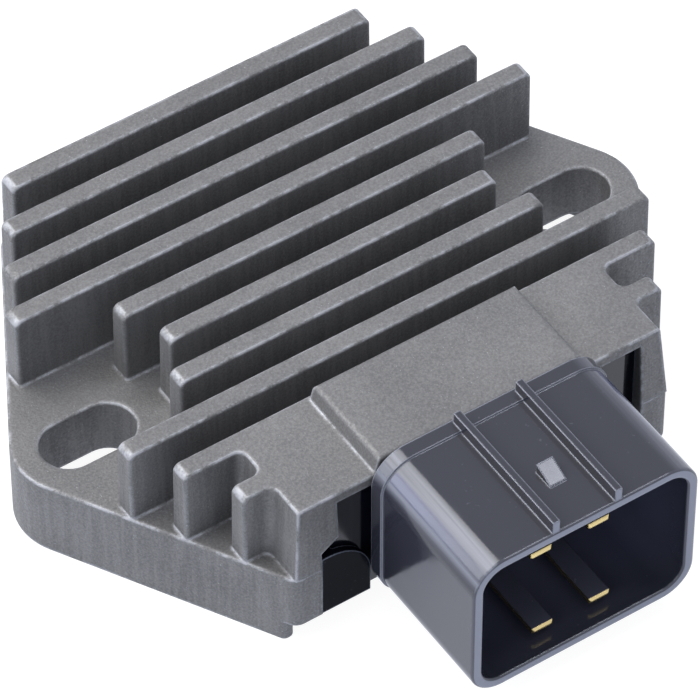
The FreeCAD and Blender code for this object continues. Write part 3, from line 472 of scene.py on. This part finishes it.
def finish_nodes():
    """Gives every carried-over piece its finish."""
    blasted = blasted_skin_group()
    edges = edge_wear_and_highlight_group()
    moulded = moulded_skin_group()
    rolled = rolled_metal_group()

    # casting: its lighter edges are wear and a painted highlight along the rounded fin tops
    casting = finish_material(
        "shot_blasted_casting", blasted, edges,
        {"Light": (0.207, 0.205, 0.202), "Dark": (0.12, 0.1195, 0.12),
         "Glint": (0.38, 0.39, 0.4), "Grain Scale": 3600.0, "Streaks": 0.35},
        metallic=0.5, relief=0.03 * MM, wear_and_highlight_colour=(0.5, 0.51, 0.54), break_up=0.42,
        edge_radius=0.7 * MM, rounds=0.6)
    # moulding: its lighter edge lines are a painted highlight
    shell = finish_material(
        "black_glossy_moulding", moulded, edges,
        {"Base": (0.028, 0.029, 0.04), "Dust": (0.2, 0.21, 0.25), "Dust Amount": 0.2,
         "Gloss": 0.08, "Matt": 0.17},
        metallic=0.0, relief=0.015 * MM, wear_and_highlight_colour=PAINTED_HIGHLIGHT_GREY, edge_amount=0.9, break_up=0.2,
        connector_light_and_shade=True)
    # resin: its lighter edge line is a painted highlight along the bead's top
    resin = finish_material(
        "poured_black_resin", moulded, edges,
        {"Base": (0.004, 0.0044, 0.007), "Dust": (0.2, 0.2, 0.22), "Dust Amount": 0.2,
         "Gloss": 0.1, "Matt": 0.24},
        metallic=0.0, relief=0.05 * MM, wear_and_highlight_colour=(0.26, 0.29, 0.36), edge_amount=0.9,
        break_up=0.2, specular=0.03)
    # brass: painted shade darkens its level faces
    brass = finish_material(
        "brass_blade", rolled, edges,
        {"Bright": (0.78, 0.62, 0.28), "Dull": (0.68, 0.53, 0.24), "Polish": 0.2,
         "Shaded Flats": 0.98},
        metallic=1.0, relief=0.01 * MM)
    tinned = finish_material(
        "tinned_copper", rolled, edges,
        {"Bright": (0.72, 0.71, 0.69), "Dull": (0.5, 0.49, 0.47), "Polish": 0.3},
        metallic=1.0, relief=0.01 * MM)
    can = finish_material(
        "drawn_can", rolled, edges,
        {"Bright": (0.7, 0.7, 0.72), "Dull": (0.5, 0.5, 0.52), "Polish": 0.28},
        metallic=1.0, relief=0.008 * MM)
    epoxy = finish_material(
        "moulded_epoxy", moulded, edges,
        {"Base": (0.02, 0.02, 0.021), "Dust": (0.1, 0.1, 0.1), "Dust Amount": 0.2,
         "Gloss": 0.45, "Matt": 0.6},
        metallic=0.0, relief=0.03 * MM)
    board = finish_material(
        "board_laminate", moulded, edges,
        {"Base": (0.02, 0.13, 0.05), "Dust": (0.1, 0.2, 0.1), "Dust Amount": 0.2,
         "Gloss": 0.25, "Matt": 0.4},
        metallic=0.0, relief=0.02 * MM)
    sheet = finish_material(
        "filled_silicone", moulded, edges,
        {"Base": (0.42, 0.42, 0.43), "Dust": (0.6, 0.6, 0.6), "Dust Amount": 0.4,
         "Gloss": 0.55, "Matt": 0.7},
        metallic=0.0, relief=0.03 * MM)
    glass_body = finish_material(
        "sealed_glass_body", moulded, edges,
        {"Base": (0.55, 0.16, 0.05), "Dust": (0.7, 0.4, 0.2), "Dust Amount": 0.2,
         "Gloss": 0.08, "Matt": 0.15},
        metallic=0.0, relief=0.01 * MM)
    ceramic = finish_material(
        "fired_ceramic", moulded, edges,
        {"Base": (0.7, 0.69, 0.65), "Dust": (0.3, 0.3, 0.3), "Dust Amount": 0.3,
         "Gloss": 0.4, "Matt": 0.55},
        metallic=0.0, relief=0.01 * MM)

    finishes = {"heat_sink": casting, "connector_housing": shell, "potting_compound": resin,
                "thermal_sheet": sheet, "circuit_board": board, "control_chip": epoxy,
                "capacitor": can, "zener_diode": glass_body}
    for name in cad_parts:
        if name.startswith("terminal"):
            finish = brass
        elif name.endswith(("_tab", "_leads")):
            finish = tinned
        elif name.startswith("resistor"):
            finish = ceramic
        elif name.startswith(("thyristor", "rectifier", "driver")):
            finish = epoxy
        else:
            finish = finishes[name]
        for place in bpy.data.objects[name].material_slots:
            place.material = finish


# studio

def pale_floor_material():
    """White to the camera with a trace of the shadow, and cool in reflections."""
    material = bpy.data.materials.new("pale_floor")
    material.use_nodes = True
    graph = Graph(material.node_tree)
    camera_ray, seen = graph.seen_rays()
    paper = graph.add("ShaderNodeBsdfDiffuse", "paper")
    graph.put(paper.inputs["Color"], FLOOR_PAPER)
    shadow_paper = graph.add("ShaderNodeBsdfDiffuse", "shadow_paper")
    graph.put(shadow_paper.inputs["Color"], FLOOR_SHADOW_PAPER)
    glow = graph.add("ShaderNodeEmission", "glow")
    graph.put(glow.inputs["Strength"], FLOOR_GLOW)
    graph.link(graph.mix_colour("tint", camera_ray, COOL_LIGHT, WHITE), glow.inputs["Color"])
    both = graph.add("ShaderNodeAddShader", "lit_and_glowing")
    graph.link(shadow_paper.outputs["BSDF"], both.inputs[0])
    graph.link(glow.outputs["Emission"], both.inputs[1])
    by_ray = graph.add("ShaderNodeMixShader", "by_ray")
    graph.link(seen, by_ray.inputs[0])
    graph.link(paper.outputs["BSDF"], by_ray.inputs[1])
    graph.link(both.outputs["Shader"], by_ray.inputs[2])
    out = graph.add("ShaderNodeOutputMaterial", "out")
    graph.link(by_ray.outputs["Shader"], out.inputs["Surface"])
    return material


def lay_floor():
    bpy.ops.object.select_all(action="DESELECT")
    bpy.ops.mesh.primitive_plane_add(size=FLOOR_SIZE, location=(0, 0, -FLOOR_DROP))
    floor = bpy.context.object
    floor.name = "floor"
    floor.data.materials.append(pale_floor_material())


def light_room():
    """A room that is white to the camera, cool in reflections, and dimmer as a light."""
    world = bpy.data.worlds.new("studio")
    bpy.context.scene.world = world
    world.use_nodes = True
    graph = Graph(world.node_tree)
    camera_ray, seen = graph.seen_rays()
    back = graph.add("ShaderNodeBackground", "backdrop")
    graph.link(graph.mix_colour("cool_room", camera_ray, COOL_LIGHT, WHITE), back.inputs["Color"])
    graph.link(graph.window("strength", seen, 0.0, 1.0, ROOM_LIGHT, 1.0), back.inputs["Strength"])
    out = graph.add("ShaderNodeOutputWorld", "out")
    graph.link(back.outputs["Background"], out.inputs["Surface"])


def hang_lamp(name, place, size, power, colour):
    data = bpy.data.lights.new(name, "AREA")
    data.shape = "SQUARE"
    data.size = size
    data.energy = power
    data.color = colour
    light = bpy.data.objects.new(name, data)
    bpy.context.scene.collection.objects.link(light)
    light.location = place
    away = Vector(place) - LAMP_AIM
    light.rotation_euler = away.to_track_quat("Z", "Y").to_euler()


def main():
    bpy.context.scene.view_settings.view_transform = "Standard"
    place_camera()
    finish_nodes()
    lay_floor()
    light_room()
    for lamp in LAMPS:
        hang_lamp(*lamp)


main()
